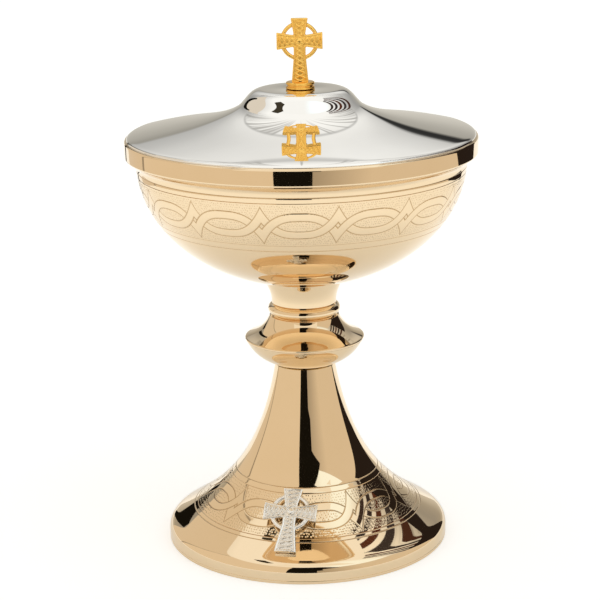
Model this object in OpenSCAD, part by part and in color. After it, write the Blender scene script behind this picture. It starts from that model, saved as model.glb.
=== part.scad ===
// Covered ciborium: spun foot, knop, bowl and lid, with cast ringed crosses.
// Millimetres. Z is up, and the origin is the centre of the underside of the foot.
// The front of the vessel faces -Y.

/* [Foot] */
// Radius of the foot over its rim
foot_r = 65.2; // [62:0.1:68]
// Height of the spun foot with its base ring
foot_h = 83; // [78:0.5:90]
// Radius of the neck at the top of the foot
neck_r = 13.9; // [13:0.1:15.5]
// Height of the flat ring that closes the foot rim
ring_h = 1.5; // [1:0.1:2.5]
// Sheet thickness of the foot
foot_wall = 1.2; // [1:0.1:1.4]

/* [Stem] */
// Radius of the knop at its edge
knop_r = 27.6; // [25:0.1:29]
// Height of the knop, both halves
knop_h = 23.3; // [22:0.1:26]
// Radius of the bead ring above the knop
bead_r = 16.6; // [16:0.1:18]
// Height of the bead ring
bead_h = 6.1; // [5.5:0.1:7]
// Height of the flared collar under the bowl
collar_h = 11.3; // [10:0.1:13]
// Radius of the flared collar at its top
collar_top_r = 18.6; // [17.5:0.1:20]
// Diameter of the threaded tie rod
rod_d = 6; // [5:0.5:6]

/* [Bowl] */
// Radius of the bowl wall below its lip
bowl_r = 74.5; // [70:0.1:76]
// Depth of the elliptic curve of the bowl
bowl_curve_h = 57.5; // [52:0.1:62]
// Height of the bowl from its underside to its lip
bowl_h = 59.7; // [59.5:0.1:62]
// Sheet thickness of the bowl
bowl_wall = 1.1; // [0.9:0.1:1.3]

/* [Lid] */
// Radius of the gilt band round the lid
band_r = 79.4; // [78.5:0.1:81]
// Height of the gilt band
band_h = 8; // [7:0.1:9]
// Height of the lid above its band
dome_h = 20.9; // [20:0.1:24]
// Sheet thickness of the lid
lid_wall = 0.9; // [0.8:0.1:1.2]
// Free space round the locating ring in the bowl mouth
seat_gap = 0.4; // [0.3:0.05:0.8]
// Depth of the locating ring below the bowl lip
seat_depth = 6; // [4:0.5:8]

/* [Crosses] */
// Height of the finial cross above its collar
finial_cross_h = 28; // [24:0.5:32]
// Thickness of the finial cross
finial_cross_t = 2.6; // [2.2:0.1:3]
// Height of the finial collar
finial_collar_h = 3.1; // [2.8:0.1:4]
// Thickness of the cross on the foot
foot_cross_t = 2.2; // [1.8:0.1:2.8]
// Turn of the foot cross to the left of the front, in degrees
foot_cross_turn = 10.3; // [0:0.1:20]

/* [Hidden] */
$fn = 96;

gilt = [0.87, 0.74, 0.53];
silver = [0.86, 0.86, 0.85];
brass = [0.71, 0.58, 0.32];
steel = [0.60, 0.61, 0.62];

// Heights of the stack, from the ground up
knop_z = foot_h;
bead_z = knop_z + knop_h;
collar_z = bead_z + bead_h;
collar_top_z = collar_z + collar_h;
bowl_z = collar_top_z - bowl_curve_h * (1 - sqrt(1 - pow(collar_top_r / bowl_r, 2)));
bowl_mid_z = bowl_z + bowl_curve_h;
lip_z = bowl_z + bowl_h;
band_top_z = lip_z + band_h;
plateau_z = band_top_z + dome_h;
finial_z = plateau_z + finial_collar_h;

// Small fits and clearances
thread_gap = 0.05;
eps = 0.01;

// Foot
ring_w = 4.6;
rim_top_z = 10;
rim_in = 4.5;
foot_pull_low = [31, 27.6];
foot_pull_high = [20.1, foot_h - 34.8];

// Tie rod and its fastenings
rod_r = rod_d / 2;
rod_bore_r = rod_r + 0.3;
plate_t = 2.4;
plate_r = neck_r - foot_wall - 0.05;
washer_t = 1.5;
washer_r = 10;
nut_af = 10;
nut_t = 5;
rod_below_nut = 4;
boss_r = 9;
collar_floor = 1.2;
boss_h = bowl_z - collar_z - collar_floor;

// Bowl lip
flare_h = 4.6;
lip_out = 3.1;
lip_t = 0.6;

// Lid
flange_t = 1.2;
band_wall = 1.5;
locator_t = 1;
locator_r = bowl_r - bowl_wall - seat_gap - 0.2;
plateau_r = 17.5;
lid_edge_in = 1.1;

// Finial
collar_r = 6.5;
slot_depth = 1;
stud_r = 1.5;
stud_in_collar = 1.9;
finial_washer_t = 0.8;
finial_washer_r = 5;
finial_nut_af = 5.5;
finial_nut_t = 2.4;
stud_below_nut = 1;

// Foot cross: bottom and top of its back plane, as radius and height on the foot
cross_low = [58, 11.6];
cross_high = [34, 32.3];
cross_tilt = atan2(cross_high[1] - cross_low[1], cross_low[0] - cross_high[0]);
cross_lift = 0.15;
pin_r = 0.9;
pin_along = [6, 20];
pin_nut_top = [-3.1, -3.4];
pin_nut_t = 1.6;
pin_nut_af = 4;
pin_end = 1;

// A cubic curve between a and d, pulled towards b and c
function bezier(a, b, c, d, steps) = [
    for (i = [0:steps])
        let (t = i / steps, u = 1 - t)
            u * u * u * a + 3 * u * u * t * b + 3 * u * t * t * c + t * t * t * d
];
function tail(path) = [for (i = [1:len(path) - 1]) path[i]];
function reversed(path) = [for (i = [len(path) - 1:-1:0]) path[i]];
function unit(v) = v / norm(v);
function heading(path, i) = unit(path[min(i + 1, len(path) - 1)] - path[max(i - 1, 0)]);

// The path moved to its left by the wall thickness, which is inwards on every shell here
function inset(path, wall) = [
    for (i = [0:len(path) - 1])
        let (h = heading(path, i)) path[i] - wall * [h[1], -h[0]]
];

// Quarter ellipse of the bowl from radius r_from out to height z_to
function bowl_arc(a, b, r_from, z_to, steps) =
    let (start = asin(r_from / a), stop = acos((bowl_mid_z - z_to) / b))
        [for (i = [0:steps])
            let (t = start + (stop - start) * i / steps) [a * sin(t), bowl_mid_z - b * cos(t)]];

foot_path = concat(
    [[foot_r, ring_h]],
    bezier([foot_r, 4.2], [foot_r, 7.2], [foot_r - 1.8, 8.4], [foot_r - rim_in, rim_top_z], 8),
    tail(bezier([foot_r - rim_in, rim_top_z], foot_pull_low, foot_pull_high, [neck_r, foot_h], 22))
);

lid_path = concat(
    bezier([band_r - lid_edge_in, band_top_z], [band_r - lid_edge_in, band_top_z + 0.9],
        [band_r - 2.4, band_top_z + 1.2], [band_r - 4.2, band_top_z + 1.6], 6),
    tail(bezier([band_r - 4.2, band_top_z + 1.6], [54, band_top_z + 6.2],
        [35.5, band_top_z + 7.8], [27.6, plateau_z - 7.2], 16)),
    tail(bezier([27.6, plateau_z - 7.2], [24.4, plateau_z - 4.3],
        [22.6, plateau_z], [plateau_r, plateau_z], 10))
);

module spun(points) {
    rotate_extrude() polygon(points);
}

// Sheet of even thickness along a path that runs up or inwards
module shell(path, wall) {
    spun(concat(path, reversed(inset(path, wall))));
}

module turned_disc(r, t, bore_r) {
    difference() {
        cylinder(r = r, h = t);
        translate([0, 0, -eps]) cylinder(r = bore_r, h = t + 2 * eps);
    }
}

module hex_nut(across_flats, t, bore_r) {
    difference() {
        cylinder(d = across_flats / cos(30), h = t, $fn = 6);
        translate([0, 0, -eps]) cylinder(r = bore_r, h = t + 2 * eps);
    }
}

// Right-hand edge of one arm along +Y, from its neck out to its flared end
function arm_edge(length, neck, end) = [[neck / 2, length / 3], [end / 2, length]];
function mirrored(path) = [for (p = reversed(path)) [-p[0], p[1]]];
function turned(path, angle) = [
    for (p = path)
        [p[0] * cos(angle) - p[1] * sin(angle), p[0] * sin(angle) + p[1] * cos(angle)]
];
function arm(length, neck, end, angle) =
    let (edge = arm_edge(length, neck, end))
        turned(concat([[neck / 2, neck / 2]], edge, mirrored(edge)), angle);

// Ringed cross lying in XY with the foot of its shaft at the origin
module ringed_cross(shaft, top, side, neck, end, base, ring_r, ring_t, t) {
    recess = 0.3;
    translate([0, shaft, 0]) {
        linear_extrude(height = t) polygon(concat(
            arm(top, neck, end, 0), arm(side, neck, end, 90),
            arm(shaft, neck, base, 180), arm(side, neck, end, 270)));
        translate([0, 0, recess]) difference() {
            cylinder(r = ring_r, h = t - 2 * recess);
            translate([0, 0, -eps]) cylinder(r = ring_r - ring_t, h = t);
        }
    }
}

// Brings children from the back plane of the foot cross to their place on the foot
module on_foot_front() {
    rotate([0, 0, -foot_cross_turn])
        translate([0, -cross_low[0], cross_low[1]])
            rotate([cross_tilt, 0, 0])
                translate([0, 0, cross_lift]) children();
}

module base_ring() {
    color(gilt) turned_disc(foot_r, ring_h, foot_r - ring_w);
}

module foot_shell() {
    color(gilt) difference() {
        shell(foot_path, foot_wall);
        on_foot_front() for (along = pin_along)
            translate([0, along, -6]) cylinder(r = pin_r + thread_gap, h = 6);
    }
}

module foot_neck_plate() {
    color(brass) translate([0, 0, foot_h - plate_t]) turned_disc(plate_r, plate_t, rod_bore_r);
}

module foot_cross() {
    color(silver) on_foot_front() ringed_cross(shaft = 19.9, top = 11.7, side = 12.1,
        neck = 5.9, end = 8.9, base = 9.9, ring_r = 9.3, ring_t = 1.9, t = foot_cross_t);
}

module foot_cross_pins() {
    color(silver) on_foot_front() for (i = [0:1])
        translate([0, pin_along[i], pin_nut_top[i] - pin_nut_t - pin_end])
            cylinder(r = pin_r, h = pin_nut_t + pin_end - pin_nut_top[i]);
}

module foot_cross_nuts() {
    color(brass) on_foot_front() for (i = [0:1])
        translate([0, pin_along[i], pin_nut_top[i] - pin_nut_t])
            hex_nut(pin_nut_af, pin_nut_t, pin_r + thread_gap);
}

// Dished lower half of the knop with a flat bottom that sits on the neck
module knop_lower() {
    edge = [knop_r - 0.3, knop_z + 12];
    wall = bezier([12, knop_z], [20.5, knop_z + 2.6], [24.3, knop_z + 6.2], edge, 14);
    color(gilt) spun(concat([[rod_bore_r, knop_z]], wall, [edge - [1.1, 0]],
        [for (p = reversed(inset(wall, 1.1))) if (p[1] < edge[1] - 0.3) p], [[rod_bore_r, knop_z + 1.1]]));
}

// Flared upper half of the knop with a rounded edge and a flat top
module knop_upper() {
    top = [bead_r - 0.7, bead_z];
    edge = bezier([knop_r - 0.3, knop_z + 12], [knop_r + 0.1, knop_z + 12.6],
        [knop_r, knop_z + 13], [knop_r - 0.7, knop_z + 13.3], 6);
    wall = tail(bezier([knop_r - 0.7, knop_z + 13.3], [22.8, knop_z + 15],
        [18.8, knop_z + 16.8], top, 16));
    color(gilt) spun(concat([[knop_r - 1.4, knop_z + 12]], edge, wall, [[rod_bore_r, bead_z]],
        [[rod_bore_r, bead_z - 1.1], [top[0] - 1.6, bead_z - 1.1]],
        [for (i = [len(wall) - 2:-1:2]) inset(wall, 1.1)[i]]));
}

module stem_bead() {
    bead_round = bead_h / 2 - 0.6;
    color(gilt) translate([0, 0, bead_z]) difference() {
        union() {
            cylinder(r = bead_r - 1.7, h = bead_h);
            translate([0, 0, bead_h / 2]) rotate_extrude()
                translate([bead_r - bead_round, 0]) circle(r = bead_round);
        }
        translate([0, 0, -eps]) cylinder(r = rod_bore_r, h = bead_h + 2 * eps);
    }
}

module bowl_collar() {
    wall = bezier([bead_r - 1.7, collar_z], [bead_r - 1.8, collar_z + 4.2],
        [bead_r - 0.1, collar_z + 7.2], [collar_top_r, collar_top_z], 10);
    color(gilt) spun(concat([[rod_bore_r, collar_z]], wall, [[collar_top_r - 1.3, collar_top_z - 0.3]],
        [for (i = [8:-1:1]) inset(wall, 1.1)[i]], [[bead_r - 2.8, collar_z + collar_floor]],
        [[rod_bore_r, collar_z + collar_floor]]));
}

// Threaded boss soldered under the bowl, its top dished to the bowl
module bowl_boss() {
    color(brass) difference() {
        spun(concat([[0, bowl_z - boss_h], [boss_r, bowl_z - boss_h]],
            reversed(bowl_arc(bowl_r, bowl_curve_h, 0, bowl_z + 0.42, 4))));
        translate([0, 0, bowl_z - boss_h - eps]) cylinder(r = rod_r + thread_gap, h = boss_h - 1);
    }
}

module bowl_shell() {
    flare_z = lip_z - flare_h;
    outside = bowl_arc(bowl_r, bowl_curve_h, 0, flare_z, 24);
    inside = bowl_arc(bowl_r - bowl_wall, bowl_curve_h - bowl_wall, 0, flare_z, 24);
    out_end = outside[24];
    in_end = inside[24];
    lip = [bowl_r + lip_out, lip_z - lip_t];
    lip_curve = bezier(out_end, out_end + [0.1, 2], lip - [1.6, 1.2], lip, 6);
    throat = bezier(in_end, in_end + [0.1, 2], [bowl_r - 0.2, lip_z - 1.3], [bowl_r + 0.9, lip_z], 6);
    color(gilt) spun(concat(outside, tail(lip_curve), [[lip[0], lip_z]],
        reversed(throat), tail(reversed(inside))));
}

module tie_rod() {
    top_z = bowl_z - 1.5;
    bottom_z = foot_h - plate_t - washer_t - nut_t - rod_below_nut;
    color(steel) translate([0, 0, bottom_z]) cylinder(r = rod_r, h = top_z - bottom_z);
}

module tie_washer() {
    color(brass) translate([0, 0, foot_h - plate_t - washer_t])
        turned_disc(washer_r, washer_t, rod_bore_r);
}

module tie_nut() {
    color(brass) translate([0, 0, foot_h - plate_t - washer_t - nut_t])
        hex_nut(nut_af, nut_t, rod_r + thread_gap);
}

module lid_shell() {
    hole = [[stud_r + 0.1, plateau_z], [stud_r + 0.1, plateau_z - lid_wall]];
    inner = inset(lid_path, lid_wall);
    color(silver) spun(concat(lid_path, hole, reversed(tail(inner)),
        [[band_r - lid_edge_in - lid_wall, band_top_z]]));
}

// Gilt band with a flange that rests on the bowl lip
module lid_rim_band() {
    round_r = 0.6;
    inner_r = band_r - band_wall;
    color(gilt) difference() {
        union() {
            rotate_extrude() translate([band_r - round_r, lip_z + round_r]) circle(r = round_r);
            rotate_extrude() translate([band_r - round_r, band_top_z - round_r]) circle(r = round_r);
            translate([0, 0, lip_z + round_r]) cylinder(r = band_r, h = band_h - 2 * round_r);
            translate([0, 0, lip_z]) cylinder(r = band_r - round_r, h = band_h);
        }
        translate([0, 0, lip_z + flange_t]) cylinder(r = inner_r, h = band_h);
        translate([0, 0, lip_z - eps]) cylinder(r = locator_r, h = band_h);
    }
}

// Plain ring under the lid that drops into the bowl mouth
module lid_locating_ring() {
    color(gilt) translate([0, 0, lip_z - seat_depth])
        turned_disc(locator_r, seat_depth + flange_t + 1, locator_r - locator_t);
}

// Two-tier turned collar, slotted on top for the cross
module finial_collar() {
    tier_h = finial_collar_h / 2;
    color(gilt) translate([0, 0, plateau_z]) difference() {
        union() {
            cylinder(r = collar_r - 0.3, h = finial_collar_h);
            cylinder(r = collar_r, h = tier_h - 0.5);
            translate([0, 0, finial_collar_h - 0.9]) rotate_extrude()
                translate([collar_r - 0.8, 0]) circle(r = 0.8);
        }
        translate([0, 0, tier_h - 0.5]) turned_disc(collar_r + 1, 0.5, collar_r - 0.7);
        translate([0, 0, -eps]) cylinder(r = stud_r + thread_gap, h = stud_in_collar);
        translate([-3.85, -finial_cross_t / 2 - thread_gap, finial_collar_h - slot_depth])
            cube([7.7, finial_cross_t + 2 * thread_gap, slot_depth + 1]);
    }
}

module finial_cross() {
    shaft = finial_cross_h * 0.64;
    color(gilt) translate([0, finial_cross_t / 2, finial_z - slot_depth + thread_gap]) rotate([90, 0, 0])
        ringed_cross(shaft = shaft + slot_depth - thread_gap, top = finial_cross_h - shaft, side = 10.2,
            neck = 5.3, end = 7.6, base = 7.6, ring_r = 8.65, ring_t = 1.75, t = finial_cross_t);
}

module finial_stud() {
    bottom_z = plateau_z - lid_wall - finial_washer_t - finial_nut_t - stud_below_nut;
    color(brass) translate([0, 0, bottom_z])
        cylinder(r = stud_r, h = plateau_z + stud_in_collar - 2 * eps - bottom_z);
}

module finial_washer() {
    color(brass) translate([0, 0, plateau_z - lid_wall - finial_washer_t])
        turned_disc(finial_washer_r, finial_washer_t, stud_r + 0.1);
}

module finial_nut() {
    color(brass) translate([0, 0, plateau_z - lid_wall - finial_washer_t - finial_nut_t])
        hex_nut(finial_nut_af, finial_nut_t, stud_r + thread_gap);
}

base_ring();
foot_shell();
foot_neck_plate();
foot_cross();
foot_cross_pins();
foot_cross_nuts();
knop_lower();
knop_upper();
stem_bead();
bowl_collar();
bowl_boss();
bowl_shell();
tie_rod();
tie_washer();
tie_nut();
lid_shell();
lid_rim_band();
lid_locating_ring();
finial_collar();
finial_cross();
finial_stud();
finial_washer();
finial_nut();
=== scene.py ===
"""Covered ciborium in gilt and silver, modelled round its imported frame.

Sections and patterns are worked out in millimetres and placed in metres.
Azimuth 0 is the front of the vessel, -Y, and it grows towards +X.
"""

import math

import bpy
import numpy as np
from bpy.props import FloatProperty, FloatVectorProperty, IntProperty, PointerProperty
from mathutils import Matrix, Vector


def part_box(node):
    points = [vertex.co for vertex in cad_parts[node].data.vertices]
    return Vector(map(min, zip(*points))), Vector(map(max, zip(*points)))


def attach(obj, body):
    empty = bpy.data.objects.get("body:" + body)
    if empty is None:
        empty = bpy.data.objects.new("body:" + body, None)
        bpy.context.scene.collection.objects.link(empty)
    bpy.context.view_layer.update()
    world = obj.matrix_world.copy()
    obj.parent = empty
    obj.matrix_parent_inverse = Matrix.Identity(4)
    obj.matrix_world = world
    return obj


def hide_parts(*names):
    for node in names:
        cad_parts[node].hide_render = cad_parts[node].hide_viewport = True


bl_info = {
    "name": "Covered Ciborium",
    "version": (1, 0, 0),
    "blender": (4, 5, 0),
    "location": "3D View > Sidebar > Ciborium",
    "description": "Builds a covered ciborium with engraved belts and cast crosses",
    "category": "Add Mesh",
}

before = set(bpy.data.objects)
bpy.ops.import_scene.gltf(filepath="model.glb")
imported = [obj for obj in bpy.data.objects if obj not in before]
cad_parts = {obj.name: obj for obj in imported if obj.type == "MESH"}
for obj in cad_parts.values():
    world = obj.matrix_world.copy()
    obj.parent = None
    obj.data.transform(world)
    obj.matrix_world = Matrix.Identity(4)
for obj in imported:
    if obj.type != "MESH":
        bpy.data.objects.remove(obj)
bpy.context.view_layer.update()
MM = 0.001
FULL_TURN = 2 * math.pi
# Points closer than this, in metres, become one
MERGE = 2e-6


# Sizes read from the frame


def reach(node):
    """Radius in millimetres that a node reaches from the axis."""
    low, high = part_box(node)
    return min(high.x - low.x, high.y - low.y) / 2 / MM


def levels(node):
    """Lowest and highest point of a node in millimetres."""
    low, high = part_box(node)
    return low.z / MM, high.z / MM


def length(name, description, millimetres):
    return FloatProperty(name=name, description=description, default=millimetres * MM,
                         min=0.0, precision=5, unit="LENGTH")


def colour(name, description, value):
    return FloatVectorProperty(name=name, description=description, default=value,
                               min=0.0, max=1.0, size=3, subtype="COLOR")


def amount(name, description, value, high=1.0):
    return FloatProperty(name=name, description=description, default=value,
                         min=0.0, max=high, subtype="FACTOR" if high == 1.0 else "NONE")


def angle(name, description, degrees):
    return FloatProperty(name=name, description=description, default=math.radians(degrees), subtype="ANGLE")


def count(name, description, value, low, high):
    return IntProperty(name=name, description=description, default=value, min=low, max=high)


class CiboriumShape(bpy.types.PropertyGroup):
    """Sizes of the turned shapes"""

    foot_radius: length("Foot Radius", "Radius of the foot over its rim", reach("foot_shell"))
    neck_radius: length("Neck Radius", "Radius at the top of the foot", 13.9)
    foot_wall: length("Foot Wall", "Sheet thickness of the foot", 1.2)
    knop_radius: length("Knop Radius", "Radius of the knop at its edge", reach("knop_upper"))
    bead_radius: length("Bead Radius", "Radius of the bead ring", reach("stem_bead"))
    bowl_radius: length("Bowl Radius", "Radius of the bowl wall below its lip", 74.5)
    bowl_curve: length("Bowl Curve", "Depth of the elliptic curve of the bowl", 57.5)
    bowl_wall: length("Bowl Wall", "Sheet thickness of the bowl", 1.1)
    band_radius: length("Lid Band Radius", "Radius of the gilt band", reach("lid_rim_band"))
    lid_wall: length("Lid Wall", "Sheet thickness of the lid", 0.9)
    turns: count("Spin Steps", "Steps in one whole turn of a body", 256, 48, 512)


class CiboriumEngraving(bpy.types.PropertyGroup):
    """Sizes of the engraved lines and belts"""

    bowl_repeats: count("Bowl Repeats", "Almonds round the bowl", 14, 6, 24)
    foot_repeats: count("Foot Repeats", "Almonds round the foot", 9, 6, 18)
    bowl_start: angle("Bowl Start", "Azimuth of the first cusp on the bowl", -13.86)
    foot_start: angle("Foot Start", "Azimuth of the first cusp on the foot", -10.3)
    line_width: length("Line Width", "Width of an engraved line", 0.42)
    line_depth: length("Line Depth", "Depth of an engraved line", 0.13)
    ground_depth: length("Ground Depth", "How far the punched ground lies below the ribbons", 0.03)
    bowl_dot_pitch: length("Bowl Dot Pitch", "Spacing of the punched dots on the bowl", 1.05)
    foot_dot_pitch: length("Foot Dot Pitch", "Spacing of the punched dots on the foot", 1.3)
    dot_depth: length("Dot Depth", "Depth of a punched dot", 0.07)
    ribbon_share: amount("Ribbon Width", "Width of a ribbon as a share of its belt", 0.18)


class CiboriumFinish(bpy.types.PropertyGroup):
    """Colours of the metals, and of the painted shade in their cuts and hollows"""

    gilt: colour("Gilt", "Polished gilding", (0.89, 0.705, 0.475))
    gilt_deep: colour("Deep Gilt", "Gilding where it is a little thicker", (0.87, 0.685, 0.45))
    # Painted shade in the engraved lines of the gilding
    gilt_cut_shade: colour("Gilt Cut Shade", "Gilding in the engraved lines", (0.42, 0.25, 0.10))
    cast_gilt: colour("Cast Gilt", "Warm gilding of the castings", (1.0, 0.62, 0.15))
    # Darker cast gilding: a random deeper tone on the turned collar, and painted shade in the hollows of the
    # cast cross
    cast_gilt_deep_and_hollow_shade: colour("Deep Cast Gilt", "Castings in their hollows", (0.86, 0.47, 0.09))
    silver: colour("Silver", "Polished silver of the lid", (0.93, 0.92, 0.89))
    silver_deep: colour("Deep Silver", "Silver with a faint tarnish", (0.90, 0.885, 0.85))
    # Painted shade in the hollows of the cast silver
    cast_silver_hollow_shade: colour("Cast Silver Hollows", "Cast silver in its hollows", (0.74, 0.69, 0.60))
    brass: colour("Brass", "Plain brass of the fastenings", (0.71, 0.55, 0.27))
    steel: colour("Steel", "Bright steel of the tie rod", (0.56, 0.57, 0.58))


class CiboriumStage(bpy.types.PropertyGroup):
    """Light, floor and camera"""

    table: amount("Table Glow", "Light that comes up through the floor", 0.42)
    panel: amount("Front Panels", "Brightness of the two front panels in reflections", 1.0)
    panel_tint: colour("Panel Tint", "Warm tint of the front panels", (0.83, 0.73, 0.60))
    camera_back: length("Camera Distance", "Distance of the camera from the axis", 832)
    camera_height: length("Camera Height", "Height of the camera over the floor", 340.6)
    focal_length: FloatProperty(name="Focal Length", description="Focal length of the lens",
                                default=112.66, min=20, unit="CAMERA")
    camera_tilt: angle("Camera Tilt", "Turn of the camera up from straight down", 74.67)
    camera_roll: angle("Camera Roll", "Roll of the camera about its view", -1.0)
    camera_shift: FloatProperty(name="Camera Shift", description="Sideways shift of the lens",
                                default=-0.0067)


# Curves in radius and height


def bezier(a, b, c, d, steps=400):
    """Points of a cubic curve between a and d, pulled towards b and c."""
    t = np.linspace(0, 1, steps + 1)[:, None]
    a, b, c, d = (np.array(p, float) for p in (a, b, c, d))
    return (1 - t) ** 3 * a + 3 * (1 - t) ** 2 * t * b + 3 * (1 - t) * t ** 2 * c + t ** 3 * d


def ellipse_arc(a, b, centre_height, start, stop, steps=1600):
    """Lower right part of an ellipse, from angle start to stop up from its bottom."""
    t = np.linspace(start, stop, steps + 1)
    return np.column_stack([a * np.sin(t), centre_height - b * np.cos(t)])


def joined(*parts):
    """One run of points out of several that meet end to end."""
    kept = [np.atleast_2d(np.array(parts[0], float))]
    for part in parts[1:]:
        part = np.atleast_2d(np.array(part, float))
        kept.append(part[1:] if np.allclose(part[0], kept[-1][-1]) else part)
    return np.vstack(kept)


class Wall:
    """The outside of a turned piece, read by the distance along it in millimetres."""

    def __init__(self, points):
        self.points = np.array(points, float)
        self.run = np.concatenate([[0], np.cumsum(np.linalg.norm(np.diff(self.points, axis=0), axis=1))])
        self.length = self.run[-1]

    def at(self, s):
        return np.column_stack([np.interp(s, self.run, self.points[:, k]) for k in (0, 1)])

    def outwards(self, s, reach_mm=0.25):
        ahead = self.at(np.minimum(np.asarray(s) + reach_mm, self.length))
        behind = self.at(np.maximum(np.asarray(s) - reach_mm, 0))
        heading = ahead - behind
        heading /= np.linalg.norm(heading, axis=1)[:, None]
        return np.column_stack([heading[:, 1], -heading[:, 0]])

    def sunk(self, s, depth):
        """Points at s, moved into the wall by depth."""
        s = np.atleast_1d(np.asarray(s, float))
        return self.at(s) - self.outwards(s) * np.broadcast_to(depth, s.shape)[:, None]

    def at_height(self, z):
        return float(np.interp(z, self.points[:, 1], self.run))


# Depth of a turned line across its width, as shares of its width and depth
LINE_SHAPE = ((-0.75, 0), (-0.5, 0.06), (-0.25, 0.62), (0, 1), (0.25, 0.62), (0.5, 0.06), (0.75, 0))
SAMPLE_SPACING = 1.0
CHANNEL_DEPTH = 0.35
CHANNEL_INSET = 0.03


def cut_wall(wall, grooves, channel, width, depth):
    """Outside of a wall with grooves turned in it, and a channel sunk between two of them."""
    steps = round(wall.length / SAMPLE_SPACING)
    samples = {float(s): 0.0 for s in np.linspace(0, wall.length, steps + 1)}
    for groove in grooves:
        for s in [s for s in samples if abs(s - groove) < width * 0.75]:
            del samples[s]
        for share, sink in LINE_SHAPE:
            samples[groove + share * width] = sink * depth
    start, stop = channel
    for s in [s for s in samples if start < s < stop]:
        del samples[s]
    steps = round((stop - start) / SAMPLE_SPACING)
    for s in np.linspace(start + CHANNEL_INSET, stop - CHANNEL_INSET, steps):
        samples[float(s)] = CHANNEL_DEPTH
    ordered = sorted(samples)
    return wall.sunk(ordered, np.array([samples[s] for s in ordered]))


def shell_section(wall, thickness, outside, spacing=2.0):
    """Closed section of a sheet: its outside, then back along its inside."""
    back = np.linspace(wall.length, 0, max(3, round(wall.length / spacing)) + 1)
    return joined(outside, wall.sunk(back, thickness))


# Modelling helpers


class Editing:
    """Edit mode for a with block, with the whole mesh selected or only what was picked"""

    def __init__(self, whole=True):
        self.whole = whole

    def __enter__(self):
        bpy.ops.object.mode_set(mode="EDIT")
        bpy.ops.mesh.select_mode(type="VERT")
        if self.whole:
            bpy.ops.mesh.select_all(action="SELECT")

    def __exit__(self, *_):
        bpy.ops.object.mode_set(mode="OBJECT")


def start_piece(name, add, **settings):
    """A primitive, added with nothing else selected, and named."""
    bpy.ops.object.select_all(action="DESELECT")
    add(**settings)
    piece = bpy.context.object
    piece.name = piece.data.name = name
    return piece


def only(piece):
    bpy.ops.object.select_all(action="DESELECT")
    piece.select_set(True)
    bpy.context.view_layer.objects.active = piece


def corners_of(piece):
    places = np.empty(len(piece.data.vertices) * 3, np.float32)
    piece.data.vertices.foreach_get("co", places)
    return places.reshape(-1, 3).astype(float)


def move_corners(piece, places):
    piece.data.vertices.foreach_set("co", np.ascontiguousarray(places, np.float32).ravel())
    piece.data.update()

def pick(piece, wanted):
    """Selects vertices by a list of true and false."""
    for group in (piece.data.edges, piece.data.polygons):
        group.foreach_set("select", np.zeros(len(group), bool))
    piece.data.vertices.foreach_set("select", np.asarray(wanted, bool))


def apply_modifier(piece, kind, **settings):
    made = piece.modifiers.new(kind.title(), kind)
    for key, value in settings.items():
        setattr(made, key, value)
    bpy.ops.object.modifier_apply(modifier=made.name)


def azimuths(places):
    """Azimuth of each point, 0 at the front."""
    return np.arctan2(places[:, 0], -places[:, 1])


def finish_piece(piece, body, slot, *nodes, metal_name=None, smooth_below=32):
    """Shades a piece smooth by angle, gives it the metal of its slot and its body, and hides the nodes that
    it stands for.
    """
    only(piece)
    bpy.ops.object.shade_smooth_by_angle(angle=math.radians(smooth_below))
    piece.data.materials.clear()
    piece.data.materials.append(finishes()[metal_name or slot])
    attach(piece, body)
    if nodes:
        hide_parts(*nodes)


def lay_section(name, section, start, ease):
    """A closed section in radius and height, laid at azimuth start and eased at its corners."""
    section = np.array(section, float)
    gaps = np.linalg.norm(section - np.roll(section, 1, axis=0), axis=1)
    section = section[gaps > 1e-5]
    piece = start_piece(name, bpy.ops.mesh.primitive_circle_add, vertices=len(section), radius=0.05)
    across, up = (section * MM).T
    move_corners(piece, np.column_stack([across * math.sin(start), -across * math.cos(start), up]))
    before = section - np.roll(section, 1, axis=0)
    after = np.roll(section, -1, axis=0) - section
    cross = before[:, 0] * after[:, 1] - before[:, 1] * after[:, 0]
    bend = np.abs(np.arctan2(cross, (before * after).sum(1)))
    sharp = (bend > math.radians(40)) & (section[:, 0] > 0.01)
    if ease and sharp.any():
        pick(piece, sharp)
        with Editing(whole=False):
            bpy.ops.mesh.bevel(offset_type="OFFSET", offset=ease * MM, segments=3, affect="VERTICES")
    return piece


def close_up(piece):
    """Merges doubles and turns all faces outwards."""
    only(piece)
    with Editing():
        bpy.ops.mesh.remove_doubles(threshold=MERGE)
        bpy.ops.mesh.delete_loose()
        bpy.ops.mesh.select_all(action="SELECT")
        bpy.ops.mesh.normals_make_consistent(inside=False)
    return piece


def spun(name, section, steps, ease=0.0):
    """A section spun a quarter turn, then mirrored to a whole body round the axis."""
    piece = lay_section(name, section, 0.0, ease)
    with Editing():
        bpy.ops.mesh.spin(steps=steps // 4, angle=FULL_TURN / 4, use_auto_merge=False,
                          center=(0, 0, 0), axis=(0, 0, 1))
    apply_modifier(piece, "MIRROR", use_axis=(True, True, False), merge_threshold=MERGE)
    return close_up(piece)


def swept(name, section, steps, start, turn):
    """A section swept part of a turn round the axis, and closed at both ends."""
    piece = lay_section(name, section, start, 0.0)
    apply_modifier(piece, "SCREW", axis="Z", angle=turn, steps=steps, render_steps=steps,
                   use_merge_vertices=False)
    for end in (start, start + turn):
        away = (azimuths(corners_of(piece)) - end + math.pi) % FULL_TURN - math.pi
        pick(piece, np.abs(away) < turn / steps * 0.1)
        with Editing(whole=False):
            bpy.ops.mesh.edge_face_add()
    return close_up(piece)


def mark_cut_shade(piece, values):
    """Keeps how deep each corner lies in a cut, from 0 to 1, which the finish reads to paint shade and add
    roughness there.
    """
    layer = piece.data.attributes.new("cut", "FLOAT", "POINT")
    layer.data.foreach_set("value", np.clip(values, 0, 1).astype(np.float32))


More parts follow.
